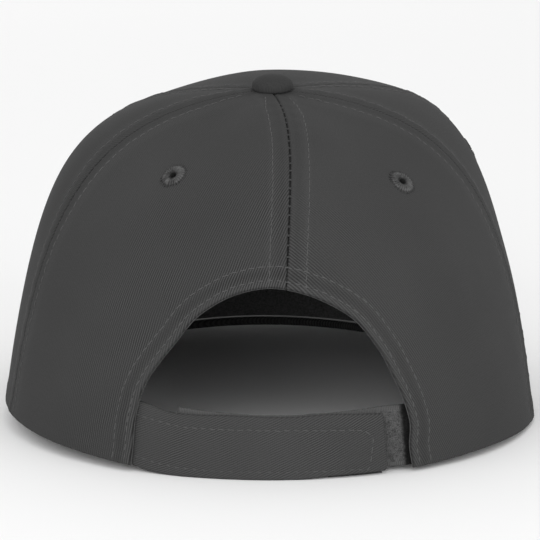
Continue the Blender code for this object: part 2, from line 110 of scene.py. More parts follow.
EYELETS = {
    "back_panel_left": (42.3, 0.0883),
    "side_panel_left": (113.0, 0.0860),
    "side_panel_right": (247.0, 0.0850),
    "back_panel_right": (312.7, 0.0861),
}
SHIFT = np.array([0.0, cad_box[0][1] + FRONT_REACH + PEAK_REACH, 0.0])


def through(knots, values, at):
    """Smooth curve through values given at rising knots."""
    rise = np.diff(values) / np.diff(knots)
    span = np.diff(knots)
    inner = (rise[1:] * span[:-1] + rise[:-1] * span[1:]) / (span[1:] + span[:-1])
    slope = np.concatenate([rise[:1], inner, rise[-1:]])
    i = np.clip(np.searchsorted(knots, at, side="right") - 1, 0, len(knots) - 2)
    s = (at - knots[i]) / span[i]
    start = (2 * s**3 - 3 * s**2 + 1) * values[i] + (s**3 - 2 * s**2 + s) * span[i] * slope[i]
    end = (3 * s**2 - 2 * s**3) * values[i + 1] + (s**3 - s**2) * span[i] * slope[i + 1]
    return start + end


def unit(vectors):
    """The same directions, with length 1."""
    return vectors / np.maximum(np.linalg.norm(vectors, axis=-1, keepdims=True), 1e-12)


def sample(at, knots, table):
    """The columns of a table, read at places between its knots."""
    return np.stack([np.interp(at, knots, column) for column in table.T], axis=-1)


def meridian(column, angle):
    """One column of MERIDIANS at any angle, read round the full turn."""
    knots = MERIDIANS[:, 0]
    values = MERIDIANS[:, MERIDIAN_COLUMNS.index(column)]
    knots = np.concatenate([knots[-2:] - FULL_TURN, knots, knots[:2] + FULL_TURN])
    values = np.concatenate([values[-2:], values, values[:2]])
    return through(knots, values, np.mod(angle, FULL_TURN))


def crown_point(angle, along):
    """Point on the outside of the crown: along is 0 at the button and 1 at the rim."""
    angle, along = np.broadcast_arrays(np.asarray(angle, float), np.asarray(along, float))
    turn = np.radians(angle)
    half_length = np.where(np.cos(turn) > 0, BACK_REACH, FRONT_REACH)
    reach = 1 / np.hypot(np.sin(turn) / CROWN_HALF_WIDTH, np.cos(turn) / half_length)
    rim = meridian("rise", angle) * CROWN_HEIGHT
    wall = meridian("wall_hold", angle) * (CROWN_HEIGHT - rim)
    shoulder = meridian("top_hold", angle) * reach
    slope = np.tan(np.radians(meridian("top_slope", angle)))
    lean = np.tan(np.radians(meridian("wall_lean", angle)))
    first = (1 - along) ** 3
    second = 3 * (1 - along) ** 2 * along
    third = 3 * (1 - along) * along**2
    last = along**3
    radius = second * shoulder + third * (reach - wall * lean) + last * reach
    height = first * CROWN_HEIGHT + second * (CROWN_HEIGHT - shoulder * slope)
    height = height + third * (rim + wall) + last * rim
    return np.stack([radius * np.sin(turn), radius * np.cos(turn), height], axis=-1)


def plan_radius(angle, along):
    """Distance of a point of the crown from the upright line through its middle."""
    return np.linalg.norm(crown_point(angle, along)[..., :2], axis=-1)


def crown_normal(angle, along):
    """Direction out of the crown."""
    across = crown_point(angle + 0.05, along) - crown_point(angle - 0.05, along)
    down = crown_point(angle, along + 0.001) - crown_point(angle, along - 0.001)
    return unit(np.cross(across, down))


def skin(angle, along, depth):
    """Point at a depth under the outside of the crown."""
    if not np.any(depth):
        return crown_point(angle, along)
    depth = np.asarray(depth, float)[..., None]
    return crown_point(angle, along) - depth * crown_normal(angle, along)


def search(measure, wanted, low, high):
    """Where a falling measure comes down to the wanted value."""
    wanted = np.asarray(wanted, float)
    low = np.full(wanted.shape, float(low))
    high = np.full(wanted.shape, float(high))
    for _ in range(26):
        middle = (low + high) / 2
        above = measure(middle) > wanted
        low = np.where(above, middle, low)
        high = np.where(above, high, middle)
    return (low + high) / 2


def along_at_height(angle, height, depth=0.0):
    """Place on the wall of the crown at a height."""
    angle, height, depth = np.broadcast_arrays(angle, height, depth)
    return search(lambda along: skin(angle, along, depth)[..., 2], height, 0.3, 1.1)


def rim_height(angle):
    """Height of the outer edge of the rim."""
    return crown_point(angle, 1.0)[..., 2]


def seam_angle(seam, along):
    """Angle of a seam at a place between button and rim."""
    at_button, at_rim, bow = SEAMS[seam]
    return at_button + (at_rim - at_button) * along + 4 * bow * along * (1 - along)


LEAST_RADIUS = 0.004


def beside_seam(seam, along, distance):
    """Angle at a distance beside a seam."""
    angle = seam_angle(seam, along)
    radius = np.maximum(plan_radius(angle, along), LEAST_RADIUS)
    return angle + np.degrees(distance / radius)


def arch_edge(place):
    """Angle and along of the edge of the opening, from -1 at its left foot to 1 at its right."""
    climb, left, right, height = ARCH_EDGE.T
    knots = np.concatenate([climb - 1, 1 - climb[-2::-1]])
    sideways = np.concatenate([left, -right[-2::-1]])
    upwards = np.concatenate([height, height[-2::-1]])
    x = ARCH_SHIFT + through(knots, sideways, place) * ARCH_WIDTH / 2
    share = through(knots, upwards, place)
    angle = np.degrees(np.arcsin(x / BACK_REACH))
    for _ in range(5):
        along = along_at_height(angle, rim_height(angle) * (1 - share) + ARCH_HEIGHT * share)
        angle = np.degrees(np.arcsin(x / plan_radius(angle, along)))
    return angle, along


def smooth_step(value, start, end):
    """0 before start, 1 after end, smooth between."""
    share = np.clip((value - start) / (end - start), 0, 1)
    return share**2 * (3 - 2 * share)


def path_length(points):
    """Length from the first point to each point of a line."""
    steps = np.linalg.norm(np.diff(points, axis=0), axis=-1)
    return np.concatenate([[0.0], np.cumsum(steps)])


CHUNK = 4000  # points at a time, to save memory


def nearest(points, line):
    """Distance from each point to a line, and how far along the line that is."""
    flat = points.reshape(-1, 3)
    run = path_length(line)
    gap = np.empty(len(flat))
    place = np.empty(len(flat))
    for start in range(0, len(flat), CHUNK):
        some = slice(start, start + CHUNK)
        part = flat[some]
        square = ((part[:, None] - line[None]) ** 2).sum(-1)
        best = np.clip(square.argmin(1), 1, len(line) - 2)
        ends = line[best + 1] - line[best - 1]
        off = part - line[best]
        slide = (off * ends).sum(-1) / (ends * ends).sum(-1)
        slide = np.clip(slide, -0.5, 0.5)
        gap[some] = np.linalg.norm(off - slide[:, None] * ends, axis=-1)
        span = run[best + 1] - run[best - 1]
        place[some] = run[best] + slide * span
    return gap.reshape(points.shape[:-1]), place.reshape(points.shape[:-1])


def near(points, line):
    """The same as nearest, in millimetres."""
    gap, place = nearest(points, line)
    return gap / MM, place / MM


def border_gap(points, lines):
    """Distance from each point to the closest of some lines."""
    return np.min([nearest(points, line)[0] for line in lines], axis=0)


def hill(value, middle, width):
    """1 at the middle, falling off smoothly on both sides."""
    return np.exp(-(((value - middle) / width) ** 2))


def waver(points, size, seed):
    """Smooth unevenness from -1 to 1, for shapes of about this size."""
    draw = np.random.default_rng(seed)
    total = np.zeros(points.shape[:-1])
    for _ in range(6):
        direction = draw.normal(size=3)
        direction = unit(direction) * draw.uniform(0.6, 1.5)
        total += np.sin(points @ direction * 2 * np.pi / size + draw.uniform(0, 2 * np.pi))
    return total / 6


def ripples(points, *kinds):
    """Wavers of a height in mm, a size in metres and a seed, added up; in mm."""
    return sum(height * waver(points, size, seed) for height, size, seed in kinds)


# Materials


def grey(value):
    return (value, value, value, 1.0)


class Graph:
    """Small helper for shader graphs."""

    def __init__(self, name):
        self.material = bpy.data.materials.new(name)
        self.material.use_nodes = True
        self.nodes = self.material.node_tree.nodes
        self.links = self.material.node_tree.links
        self.shader = self.nodes["Principled BSDF"]

    def put(self, node, inputs):
        """Sets inputs, by name or number, to values or to what other nodes give."""
        for key, value in inputs.items():
            if isinstance(value, bpy.types.NodeSocket):
                self.links.new(value, node.inputs[key])
            else:
                node.inputs[key].default_value = value

    def new(self, kind, inputs, **settings):
        node = self.nodes.new("ShaderNode" + kind)
        for name, value in settings.items():
            setattr(node, name, value)
        self.put(node, inputs)
        return node

    def math(self, operation, *values):
        return self.new("Math", dict(enumerate(values)), operation=operation).outputs[0]

    def times(self, a, b):
        return self.math("MULTIPLY", a, b)

    def plus(self, value, gain, rest):
        """A value times a gain, added to the rest."""
        return self.math("MULTIPLY_ADD", value, gain, rest)

    def swing(self, value, gain, rest):
        """How far a value is from 0.5, times a gain, added to the rest."""
        return self.plus(self.math("SUBTRACT", value, 0.5), gain, rest)

    def sine(self, value, period=1.0):
        return self.math("SINE", self.times(value, 2 * np.pi / period))

    def noise(self, vector, scale, detail=2.0):
        inputs = {"Vector": vector, "Scale": scale, "Detail": detail}
        return self.new("TexNoise", inputs).outputs[0]

    def shade(self, tone, value, spread):
        """Grey that goes with the tone from value less its spread to value plus its spread."""
        inputs = {0: tone, 6: grey(value * (1 - spread)), 7: grey(value * (1 + spread))}
        return self.new("Mix", inputs, data_type="RGBA").outputs[2]

    def place(self):
        return self.new("TexCoord", {}).outputs["Object"]

    def ramp(self, *numbers):
        """A value and its start and end, turned smoothly into low and high."""
        inputs = dict(enumerate(numbers))
        return self.new("MapRange", inputs, interpolation_type="SMOOTHSTEP").outputs[0]

    def scaled(self, colour, factor):
        inputs = {0: colour, "Scale": factor}
        return self.new("VectorMath", inputs, operation="SCALE").outputs[0]

    def cloth_place(self, layer="cloth"):
        """A layer of cloth coordinates, whole and as its two numbers."""
        whole = self.new("UVMap", {}, uv_map=layer).outputs[0]
        split = self.new("SeparateXYZ", {0: whole})
        return whole, split.outputs[0], split.outputs[1]

    def bump(self, height, strength, distance):
        inputs = {"Height": height, "Strength": strength, "Distance": distance}
        self.put(self.shader, {"Normal": self.new("Bump", inputs).outputs[0]})

    def finish(self, colour, roughness, sheen):
        inputs = {"Base Color": colour, "Roughness": roughness, "Specular IOR Level": 0.10}
        self.put(self.shader, inputs | {"Sheen Weight": sheen, "Sheen Roughness": 0.45})
        return self.material


YARN_PITCH = 0.7  # mm along a rib
YARN_STEP = 0.37  # from one rib to the next, as a share of the pitch


def twill_material(name, value, rib_contrast):
    """Twill whose ribs run along the first cloth coordinate and are 1 apart in the second."""
    g = Graph(name)
    cloth, run, across = g.cloth_place()
    # Second layer: painted light and shade with some rub wear (lighter above 0, darker below),
    # then how far the ribs have blurred
    _, painted_shading_and_rub, fade = g.cloth_place("painted_light_and_wear")
    line = g.plus(g.noise(cloth, 0.13), 0.9, across)
    wave = g.times(g.sine(line), g.math("SUBTRACT", 1.0, fade))
    place = g.plus(g.math("FLOOR", line), YARN_STEP, g.math("DIVIDE", run, YARN_PITCH))
    yarn = g.sine(place)
    slub = g.noise(cloth, 1.6, 3.0)
    g.bump(g.plus(wave, 0.40, g.plus(yarn, 0.14, slub)), 0.55, 0.00018)
    patch = g.plus(g.noise(cloth, 0.09, 1.0), 1.8, -0.1)
    tone = g.plus(g.times(wave, patch), rib_contrast, 0.5)
    tone = g.plus(yarn, 0.06, tone)
    tone = g.swing(slub, 0.55, tone)
    tone = g.swing(g.noise(g.place(), 18.0, 3.0), 0.40, tone)
    colour = g.scaled(g.shade(tone, value, 0.5), g.math("ADD", painted_shading_and_rub, 1.0))
    return g.finish(colour, 0.9, 0.02)


def thread_material(name, value, spread):
    """Sewing thread."""
    g = Graph(name)
    fine = g.noise(g.place(), 2500.0)
    g.bump(fine, 0.4, 0.00008)
    return g.finish(g.shade(fine, value, spread), 0.75, 0.08)


def tape_material(name, value, grain, contrast):
    """Woven or brushed tape."""
    g = Graph(name)
    fine = g.noise(g.place(), grain, 3.0)
    g.bump(fine, 0.7, 0.0003)
    return g.finish(g.shade(g.swing(fine, 2.4, 0.5), value, contrast), 0.95, 0.05)


LOOP_MIDDLE, LOOP_BRUSHED = 9.65, 8.1  # mm up the tape, and brushed to either side of it
LOOP_SHADOW = (43.5, 45.1)  # mm round the head where the painted shadow starts, as the panel starts to cover the tape


def loop_material(name, value):
    """Brushed loop tape with woven edges, with a painted shadow where it runs in under the panel.
    """
    g = Graph(name)
    _, run, across = g.cloth_place()
    fuzz = g.noise(g.place(), 2600.0, 4.0)
    clumps = g.noise(g.place(), 700.0)
    off_middle = g.math("ABSOLUTE", g.math("SUBTRACT", across, LOOP_MIDDLE))
    edge = g.math("GREATER_THAN", off_middle, LOOP_BRUSHED)
    brushed = g.swing(clumps, 0.9, g.swing(fuzz, 1.9, 0.5))
    woven = g.plus(g.sine(run, 0.62), 0.22, 0.6)
    brushed = g.times(brushed, g.math("SUBTRACT", 1.0, edge))
    tone = g.math("ADD", brushed, g.times(woven, edge))
    # Painted shadow: the tape darkens to 0.12 of its tone where it runs in under the panel
    under = g.ramp(g.plus(clumps, 1.6, run), *LOOP_SHADOW, 1.0, 0.12)
    g.bump(g.math("ADD", fuzz, clumps), 0.8, 0.0004)
    return g.finish(g.scaled(g.shade(tone, value, 0.65), under), 0.95, 0.03)


def embroidery_material(name, value):
    """Satin stitches that run outwards from a hole."""
    g = Graph(name)
    _, turn, reach = g.cloth_place()
    uneven = g.noise(g.place(), 700.0, 3.0)
    place = g.plus(uneven, 7.0, g.times(turn, 2 * np.pi))
    tone = g.swing(uneven, 1.6, g.plus(g.math("SINE", place), 0.26, 0.5))
    g.bump(tone, 0.6, 0.0003)
    edge = g.times(g.ramp(reach, 0.0, 0.28, 0.35, 1.0), g.ramp(reach, 0.80, 1.0, 1.0, 0.45))
    return g.finish(g.scaled(g.shade(tone, value, 0.6), edge), 0.8, 0.03)


TWILL = twill_material("twill_cloth", 0.0385, 0.46)
# Same twill as the crown, made lighter: painted light on the strap
TWILL_STRAP_PAINTED_LIGHT = twill_material("twill_strap_cloth_painted_light", 0.045, 0.34)
# Same twill as the crown, made darker: painted shade on the button
TWILL_BUTTON_PAINTED_SHADE = twill_material("twill_button_cloth_painted_shade", 0.033, 0.12)
INSIDE = tape_material("inside_cloth", 0.085, 900.0, 0.25)
BAND = tape_material("sweatband_weave", 0.080, 1500.0, 0.35)
THREAD = thread_material("topstitch_thread", 0.076, 0.25)
# Near-black thread, darker than any thread on the cap: painted shade seen through the seam gaps
# and on the eyelet holes' inner walls
DARK_THREAD_PAINTED_SHADE = thread_material("seam_thread_painted_shade", 0.012, 0.3)
BAR_THREAD = thread_material("seam_bar_thread", 0.044, 0.3)
EYELET_THREAD = embroidery_material("embroidery_thread", 0.067)
LOOP = loop_material("loop_tape_brushed", 0.062)
HOOK = tape_material("hook_tape_woven", 0.036, 1800.0, 0.4)


# Meshes


def show(name, data):
    """Object made of this data, in the scene."""
    made = bpy.data.objects.new(name, data)
    bpy.context.scene.collection.objects.link(made)
    return made


def add_piece(name, points, faces, looks, replaces=(), uv=None):
    """One smooth mesh piece in the row frame."""
    mesh = bpy.data.meshes.new(name)
    points = np.asarray(points, float).reshape(-1, 3) + SHIFT
    if isinstance(faces, np.ndarray):
        faces = faces.tolist()
    mesh.from_pydata(points.tolist(), [], faces)
    mesh.polygons.foreach_set("use_smooth", [True] * len(faces))
    for look in looks:
        mesh.materials.append(look)
    if uv is not None:
        uv = np.asarray(uv, float).reshape(len(points), -1)
        corner = np.empty(len(mesh.loops), np.int32)
        mesh.loops.foreach_get("vertex_index", corner)
        for first, layer_name in ((0, "cloth"), (2, "painted_light_and_wear"))[: uv.shape[1] // 2]:
            layer = mesh.uv_layers.new(name=layer_name)
            layer.data.foreach_set("uv", uv[corner, first : first + 2].ravel())
    mesh.update()
    made = show(name, mesh)
    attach(made, "root")
    if replaces:
        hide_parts(*replaces)
    return made


def quads(grid):
    """Faces of four corners between the rows and columns of a grid of point numbers."""
    corners = (grid[:-1, :-1], grid[1:, :-1], grid[1:, 1:], grid[:-1, 1:])
    return np.stack(corners, axis=-1).reshape(-1, 4)


def skin_faces(columns, rows):
    """Faces of a closed sheet whose two layers share their border."""
    index = np.arange(columns * rows).reshape(columns, rows)
    under = index.copy()
    middle = np.arange((columns - 2) * (rows - 2)).reshape(columns - 2, rows - 2)
    under[1:-1, 1:-1] = middle + columns * rows
    return np.concatenate([quads(index), quads(under)[:, ::-1]])


def skin_values(outer, inner):
    """What the outer layer has at its points, then what the inner one has at its own."""
    size = outer.shape[-1]
    return np.concatenate([outer.reshape(-1, size), inner[1:-1, 1:-1].reshape(-1, size)])


def closed_sheet(name, outer, inner, looks, slot, replaces, uv):
    """Sheet with its outside in the first look and its inside in the second."""
    points = skin_values(outer, inner)
    faces = skin_faces(*outer.shape[:2])
    first, second, _, fourth = (points[faces[:, k]] for k in range(4))
    facing = np.cross(second - first, fourth - first)
    away = unit(outer - inner).reshape(-1, 3)
    half = len(faces) // 2
    if (facing[:half] * away[faces[:half, 0]]).sum() < 0:
        faces = faces[:, ::-1]
    made = add_piece(name, points, faces, looks, replaces, skin_values(uv, uv))
    if len(looks) > 1:
        made.data.polygons.foreach_set("material_index", [0] * half + [1] * (len(faces) - half))
    return made


def edge_shares(width, edges, middle):
    """Places across a width in metres: close together at both edges, even between."""
    width = np.asarray(width, float)[..., None]
    edges = np.asarray(edges) * MM
    squeeze = np.minimum(1.0, width / (4 * edges[-1]))
    near = edges * squeeze / width
    between = np.linspace(0, 1, middle + 1)[1:-1]
    centre = near[..., -1:] + (1 - 2 * near[..., -1:]) * between
    return np.concatenate([near, centre, 1 - near[..., ::-1]], axis=-1)


def rounded(distance, thickness, reach):
    """How far both faces of a sheet come together at this distance from its edge."""
    inside = np.clip(1 - distance / reach, 0, 1)
    return thickness / 2 * (1 - np.sqrt(1 - inside**2))


# Stitches


PITCH = 3.0 * MM
STITCH = 2.45 * MM
STITCH_SINK = 0.22 * MM
THREAD_RADIUS = 0.15 * MM
STITCH_SHAPE = (  # place along the stitch, height and width, as shares
    (-0.50, -1.00, 0.70),
    (-0.42, -0.25, 0.95),
    (-0.25, 0.35, 1.00),
    (0.00, 0.50, 1.00),
    (0.25, 0.35, 1.00),
    (0.42, -0.25, 0.95),
    (0.50, -1.00, 0.70),
)
THREAD_SIDES = 6


class Stitching:
    """Collects short lengths of thread and makes one mesh of them."""

    def __init__(self):
        self.points = []
        self.faces = []
        self.count = 0

    def row(self, line, normals, pitch=PITCH, length=STITCH, radius=THREAD_RADIUS, start=0.0):
        """Stitches along a line that lies on the cloth."""
        run = path_length(line)
        centres = np.arange(pitch / 2 + start, run[-1], pitch)
        if len(centres) == 0:
            return
        draw = np.random.default_rng(len(self.points) + 11)
        centres = centres + draw.uniform(-0.05, 0.05, len(centres)) * pitch
        wander = draw.uniform(-0.10, 0.10, len(centres)) * MM
        slant = draw.uniform(-0.05, 0.35, len(centres)) * MM
        turns = np.linspace(0, 2 * np.pi, THREAD_SIDES, endpoint=False)[None, :, None]
        rings = []
        for place, height, wide in STITCH_SHAPE:
            distance = np.clip(centres + place * length, 0, run[-1])
            ahead, behind = (
                sample(np.clip(distance + step, 0, run[-1]), run, line)
                for step in (0.1 * MM, -0.1 * MM)
            )
            normal = unit(sample(distance, run, normals))
            side = np.cross(unit(ahead - behind), normal)
            lift = height * (STITCH_SINK if height < 0 else radius)
            base = sample(distance, run, line) + normal * lift
            base = base + side * (wander + place * slant)[:, None]
            circle = np.cos(turns) * normal[:, None] + np.sin(turns) * side[:, None]
            rings.append(base[:, None] + circle * radius * wide)
        rings = np.stack(rings, axis=1)
        index = self.count + np.arange(rings[..., 0].size).reshape(rings.shape[:3])
        following = np.roll(index, -1, axis=2)
        corners = (index[:, :-1], following[:, :-1], following[:, 1:], index[:, 1:])
        self.points.append(rings.reshape(-1, 3))
        self.faces.extend(np.stack(corners, axis=-1).reshape(-1, 4).tolist())
        self.faces.extend(index[:, 0, ::-1].tolist())
        self.faces.extend(index[:, -1].tolist())
        self.count += index.size

    def make(self, name, look):
        add_piece(name, np.concatenate(self.points), self.faces, [look])


# Panels

# Distance of the row on either side of each seam, in mm
TOPSTITCH = {
    "back": (5.7, 6.3),
    "left": (4.4, 3.7),
    "front_left": (4.6, 4.6),
    "front_right": (4.6, 4.6),
    "right": (4.6, 4.6),
}
ARCH_ROWS = (2.4, 7.1)
TOP_ALONG = 0.022
# Half the width that a seam stands open and how deep it is sunk, in mm
HALF_GAP = {"back": 0.19, "left": 0.03, "front_left": 0.03, "front_right": 0.03, "right": 0.05}
SEAM_DIP = {"back": 0.34, "left": 0.18, "front_left": 0.16, "front_right": 0.16, "right": 0.14}


def seam_path(seam, lowest):
    """Points down a seam."""
    along = np.linspace(TOP_ALONG, lowest, 160)
    return crown_point(seam_angle(seam, along), along)


ARCH_PLACES = np.linspace(-1, 1, 401)
ARCH_ANGLES, ARCH_ALONGS = arch_edge(ARCH_PLACES)
ARCH_LINE = crown_point(ARCH_ANGLES, ARCH_ALONGS)
BACK_SEAM_LOWEST = float(
    ARCH_ALONGS[np.argmin(np.abs(ARCH_ANGLES - seam_angle("back", ARCH_ALONGS)))]
)
SEAM_LINES = {
    seam: seam_path(seam, BACK_SEAM_LOWEST if seam == "back" else 1.0) for seam in SEAMS
}
RIM_LINE = crown_point(np.linspace(0, FULL_TURN, 721), 1.0)


# Heights and lengths in mm
CLOTH_RIPPLES = ((0.30, 0.07, 3), (0.14, 0.025, 4))
SEAM_LIFT, ROW_SINK, SEAM_PUCKER = 0.24, 0.24, 0.10
HEM_LIFT, HEM_PUCKER, HEM_ROLL, RIM_LIFT = 0.30, 0.13, 0.16, 0.22
HEM_MIDDLE = 4.6
SEAM_WAVES, HEM_WAVES = (6.7, 1.7, 13), (7.9, 2.1, 17)
# Bands round the opening painted lighter, or darker below 0: how much, middle and width in mm;
# painted highlight with some rub wear on the hem roll and the rows, painted shade at the edge and
# between the rows
ARCH_SHADING_AND_WEAR = ((0.16, 1.2, 0.7), (-0.12, HEM_MIDDLE, 1.3), (-0.30, 0.0, 0.35))
ARCH_SHADING_AND_WEAR += tuple((0.10, row, 0.7) for row in ARCH_ROWS)


def sunk_row(gap, place, row):
    """How deep the cloth is sunk by a row of stitches, as a share: less in between them."""
    return (0.75 + 0.25 * np.cos(2 * np.pi * place / (PITCH / MM))) * hill(gap, row, 0.5)


def puckers(place, length, sway, sway_length, phase=0):
    """Waves of the cloth along a row of stitches, some longer and some shorter."""
    return np.sin(2 * np.pi * place / length + sway * np.sin(place / sway_length) + phase)


def relief(points, seams, has_arch):
    """How far the cloth stands out at base points, in metres."""
    total = ripples(points, *CLOTH_RIPPLES)
    for number, seam in enumerate(seams):
        gap, place = near(points, SEAM_LINES[seam])
        row = np.mean(TOPSTITCH[seam])
        total -= SEAM_DIP[seam] * hill(gap, 0.0, 0.7)
        total += SEAM_LIFT * (1 - smooth_step(gap, row - 0.8, row + 1.6))
        total -= ROW_SINK * sunk_row(gap, place, row)
        waves = puckers(place, *SEAM_WAVES, number)
        total += SEAM_PUCKER * waves * hill(gap, row * 0.7, row * 0.6)
    if has_arch:
        gap, place = near(points, ARCH_LINE)
        total += HEM_LIFT * (1 - smooth_step(gap, ARCH_ROWS[1] - 0.6, ARCH_ROWS[1] + 1.4))
        for row in ARCH_ROWS:
            total -= ROW_SINK * sunk_row(gap, place, row)
        total += HEM_PUCKER * puckers(place, *HEM_WAVES) * hill(gap, HEM_MIDDLE, 2.2)
        total += HEM_ROLL * hill(gap, 1.2, 0.9)
    total += RIM_LIFT * (1 - smooth_step(near(points, RIM_LINE)[0], 3.0, 6.0))
    return total * MM


def painted_shading_and_rubbing(points, seams, has_arch):
    """How much lighter or darker the cloth is painted at each point: painted highlight with some
    rub wear on raised rows and hem, painted shade in and beside the seams and at the edge; below
    0 it is darker.
    """
    total = 0.0
    for seam in seams:
        row = np.mean(TOPSTITCH[seam])
        # Painted highlight with some rub wear on and beyond the row, painted shade between seam
        # and row and in the seam itself
        bands = [(0.15, row, 0.8), (-0.09, row * 0.45, 1.1)]
        if seam != "back":
            bands += [(0.10, row + 2.0, 1.4), (-0.06, 0.0, 0.5)]
        gap = near(points, SEAM_LINES[seam])[0]
        total += sum(much * hill(gap, middle, width) for much, middle, width in bands)
    if has_arch:
        gap = near(points, ARCH_LINE)[0]
        total += sum(much * hill(gap, middle, width) for much, middle, width in ARCH_SHADING_AND_WEAR)
    return total


# Clear ribs on the back panels: how clear, angles where they end and alongs where they start
CLEAR_RIBS = {"left": (1.0, 38.0, 56.0, 0.25, 0.45), "right": (0.8, 46.0, 62.0, 0.42, 0.56)}
MOST_FADE, PLAIN_FADE = 0.8, 0.45


def rib_fade(angle, along, has_arch, middle):
    """How far the ribs have blurred: most at the crown's top and round its sides."""
    if not has_arch:
        return np.full(np.shape(angle), PLAIN_FADE)
    share, first, last, high, low = CLEAR_RIBS["left" if middle > 0 else "right"]
    clear = share * (1 - smooth_step(abs(angle), first, last)) * smooth_step(along, high, low)
    return MOST_FADE * (1 - clear)


def to_plane(angle, along):
    turn = np.radians(angle)
    return np.stack([along * np.sin(turn), along * np.cos(turn)], axis=-1)


def from_plane(place, near_angle):
    angle = np.degrees(np.arctan2(place[..., 0], place[..., 1]))
    angle = near_angle + np.mod(angle - near_angle + FULL_TURN / 2, FULL_TURN) - FULL_TURN / 2
    return angle, np.linalg.norm(place, axis=-1)


def at_share(line, share):
    """Points of a plane line at shares of its length on the crown."""
    angle, along = from_plane(line, 0.0)
    run = path_length(crown_point(angle, along))
    return sample(share * run[-1], run, line)


def fill(u, v, top, bottom, left, right):
    """Places inside four plane lines, at shares u across and v down."""
    u1 = u[..., None]
    v1 = v[..., None]
    corners = (1 - v1) * ((1 - u1) * top[0] + u1 * top[-1])
    corners = corners + v1 * ((1 - u1) * bottom[0] + u1 * bottom[-1])
    rows = (1 - v1) * at_share(top, u) + v1 * at_share(bottom, u)
    columns = (1 - u1) * at_share(left, v) + u1 * at_share(right, v)
    return rows + columns - corners


def meridian_run(angle, along):
    """Length of cloth from the button down to each place."""
    total = np.zeros(np.shape(along))
    before = crown_point(angle, 0.0 * along)
    for step in np.linspace(0, 1, 25)[1:]:
        here = crown_point(angle, step * along)
        total += np.linalg.norm(here - before, axis=-1)
        before = here
    return total


def turned_uv(across, up, lean, rib):
    """Cloth coordinates: millimetres along the ribs, and ribs counted across them."""
    turn = np.radians(lean)
    run = across * np.sin(turn) + up * np.cos(turn)
    side = across * np.cos(turn) - up * np.sin(turn)
    return np.stack([run, side / rib], axis=-1)


RIB_PULL = 0.0045


def cloth_uv(angle, along, middle, lean, rib):
    """Cloth coordinates of a panel, the ribs leaning from its middle meridian."""
    across = -np.radians(angle - middle) * plan_radius(angle, along) / MM
    pulled = across + RIB_PULL * across**2 if lean < 0 else across
    return turned_uv(pulled, -meridian_run(angle, along) / MM, lean, rib)


# Places beside an edge where the cloth has a row of points, in mm
EDGES = (0.0, 0.05, 0.15, 0.3, 0.5, 0.9, 1.5)
ARCH_EDGES = (0.0, 0.06, 0.2, 0.45, 0.8, 1.3, 2.0)
PANEL_ROWS = 110
PANEL_EDGE = 0.45 * MM
INSIDE_SHARE = 0.3  # of the outside's relief, that the inside follows
EYELET_ROOM = 2.6 * MM


def panel(name, lines, seams, middle, lean, rib, columns, has_arch):
    """One crown panel: fine, puckered at its seams, rounded at its edges."""
    even = np.linspace(0, 1, 9)
    rough = fill(*np.meshgrid(even, even, indexing="ij"), *lines)
    rough_points = crown_point(*from_plane(rough, middle))
    widths = np.linalg.norm(np.diff(rough_points, axis=0), axis=-1).sum(0)
    heights = np.linalg.norm(np.diff(rough_points, axis=1), axis=-1).sum(1)
    fine_u = edge_shares(widths, ARCH_EDGES if has_arch else EDGES, columns)
    fine_v = edge_shares(heights, EDGES, PANEL_ROWS)
    u_grid = sample(np.mean(fine_v, axis=0), even, fine_u).T
    v_grid = sample(u_grid.mean(axis=1), even, fine_v)
    angle, along = from_plane(fill(u_grid, v_grid, *lines), middle)
    base = crown_point(angle, along)
    normal = crown_normal(angle, along)
    borders = [crown_point(*from_plane(line, middle)) for line in lines]
    pinch = rounded(border_gap(base, borders if has_arch else borders[1:]), WALL, PANEL_EDGE)
    rise = relief(base, seams, has_arch)
    outer = base + normal * (rise - pinch)[..., None]
    inner = base - normal * (WALL - pinch - INSIDE_SHARE * rise)[..., None]
    painted_light_and_wear = (painted_shading_and_rubbing(base, seams, has_arch), rib_fade(angle, along, has_arch, middle))
    place = cloth_uv(angle, along, middle, lean, rib)
    uv = np.concatenate([place, np.stack(painted_light_and_wear, axis=-1)], axis=-1)
    node = name.removeprefix("cloth_")
    made = closed_sheet(name, outer, inner, [TWILL, INSIDE], "twill", [node], uv)
    if node in EYELETS:
        pierce(made, *EYELETS[node])


def pierce(made, angle, height):
    """Takes the cloth away under an eyelet."""
    along = along_at_height(np.array(angle), np.array(height))
    centre = crown_point(angle, along) + SHIFT
    mesh = made.data
    points = np.empty(len(mesh.vertices) * 3)
    mesh.vertices.foreach_get("co", points)
    close = np.linalg.norm(points.reshape(-1, 3) - centre, axis=-1) <= EYELET_ROOM
    work = bmesh.new()
    work.from_mesh(mesh)
    work.verts.ensure_lookup_table()
    bmesh.ops.delete(work, geom=[work.verts[i] for i in np.nonzero(close)[0]], context="VERTS")
    work.to_mesh(mesh)
    work.free()


SEAM_PULL = 0.20


def gap_at(seam, along):
    """Half the open width of a seam: least at the button, most where it is pulled."""
    open_share = 0.35 + 0.65 * smooth_step(along, 0.10, 0.28)
    if seam == "back":
        closing = (BACK_SEAM_LOWEST - 0.06, BACK_SEAM_LOWEST - 0.04)
        open_share *= 1 - 0.75 * smooth_step(along, *closing)
    pulled = 0.0
    if seam == "left":
        pulled = smooth_step(along, 0.38, 0.46) - smooth_step(along, 0.68, 0.76)
    return (HALF_GAP[seam] * open_share + SEAM_PULL * pulled) * MM


def seam_plane(seam, side, lowest=1.0):
    """Plane line down one side of a seam."""
    along = np.linspace(TOP_ALONG, lowest, 200)
    return to_plane(beside_seam(seam, along, side * gap_at(seam, along)), along)


def rim_plane(start, end):
    return to_plane(np.linspace(start, end, 200), np.ones(200))


